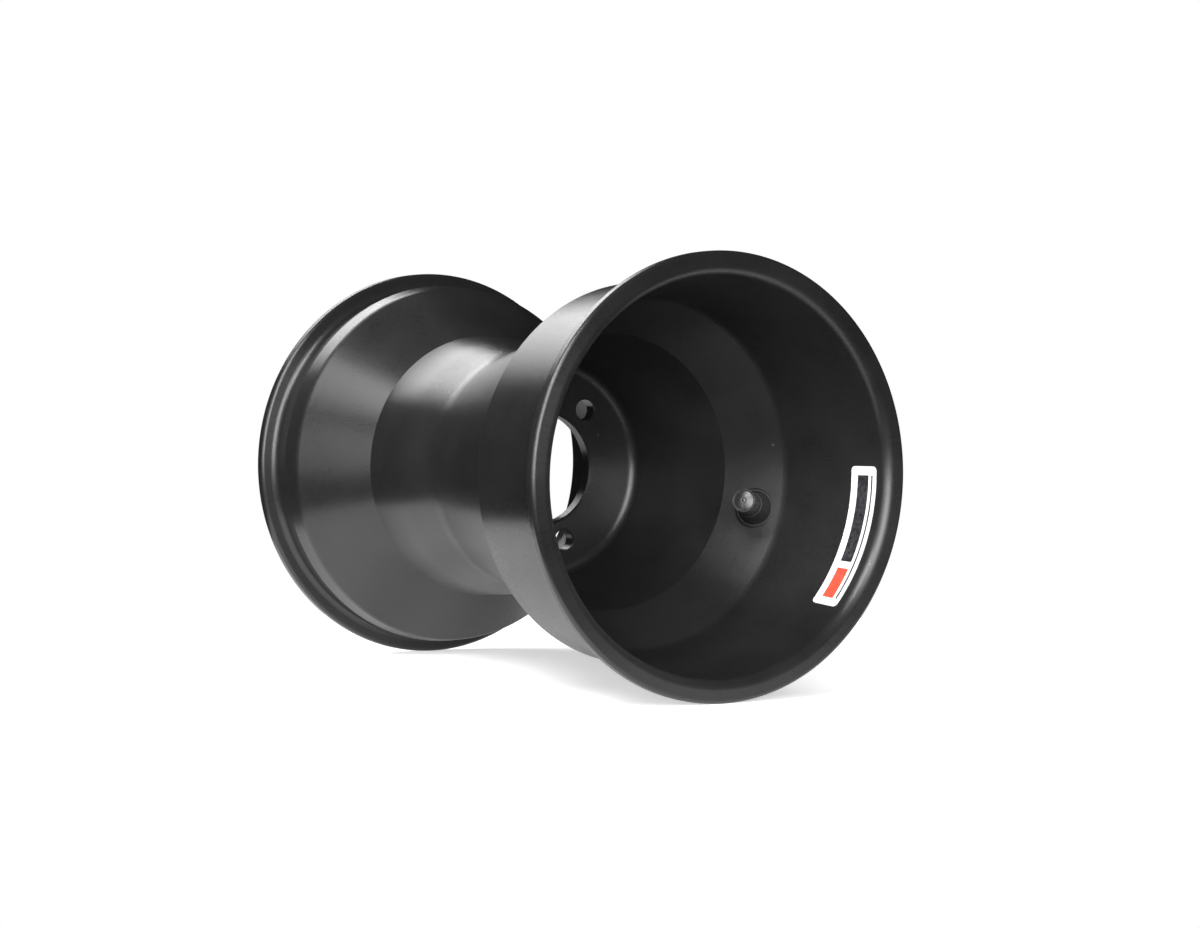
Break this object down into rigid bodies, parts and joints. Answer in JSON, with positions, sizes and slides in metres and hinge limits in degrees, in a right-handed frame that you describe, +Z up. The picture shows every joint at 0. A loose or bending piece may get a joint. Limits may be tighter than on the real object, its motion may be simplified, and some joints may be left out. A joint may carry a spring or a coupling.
{
  "type": "kart wheel",
  "caption": "Wide deep-dish kart wheel, hourglass shaped, with a bored hub web, bolt holes, a snap-in tyre valve with a screw cap and a small label inside the outboard barrel.",
  "frame": {"origin": "middle of the rim: on the wheel's axis, halfway between the two flange faces", "axes": "+Y along the wheel's axis from the outboard mouth to the inboard mouth, +Z up, +X to the right when looking into the outboard mouth"},
  "size_m": [0.1674, 0.2304, 0.1674],
  "materials": {
    "rim_black": "satin black anodised, fine turned grain",
    "label_vinyl": "printed vinyl",
    "valve_rubber": "moulded rubber",
    "brass": "machined",
    "steel": "drawn wire",
    "spring_steel": "spring wire",
    "seal_rubber": "soft moulded rubber",
    "cap_plastic": "moulded, slightly glossy"
  },
  "bodies": {
    "wheel": {"rim": "rim_black", "rim_label": "label_vinyl", "valve_body": "valve_rubber", "valve_stem": "brass", "core_plug": "brass", "core_barrel": "brass", "core_barrel_seal": "seal_rubber", "core_spring": "spring_steel"},
    "core_pin": {"core_pin": "steel", "core_cup": "brass", "core_cup_seal": "seal_rubber"},
    "cap_liner": {"cap_seal": "seal_rubber"},
    "cap": {"cap_shell": "cap_plastic"}
  },
  "joints": [
    {"name": "pin_press", "type": "slide", "parent": "wheel", "child": "core_pin", "axis": [0.7342, 0.6561, -0.1749], "range_m": [0, 0.0011], "stiffness_N_per_m": 1200, "springref_m": -0.002, "deforming": ["core_spring"]},
    {"name": "cap_lift", "type": "slide", "parent": "wheel", "child": "cap_liner", "axis": [-0.7342, -0.6561, 0.1749], "range_m": [0, 0.00476]},
    {"name": "cap_turn", "type": "hinge", "parent": "cap_liner", "child": "cap", "pos_m": [0.04969, -0.05874, -0.01184], "axis": [-0.7342, -0.6561, 0.1749], "range_deg": [0, 2160]}
  ],
  "couplings": [
    {"joint": "cap_turn", "follows": "cap_lift", "rad_per_m": 7915.8}
  ]
}
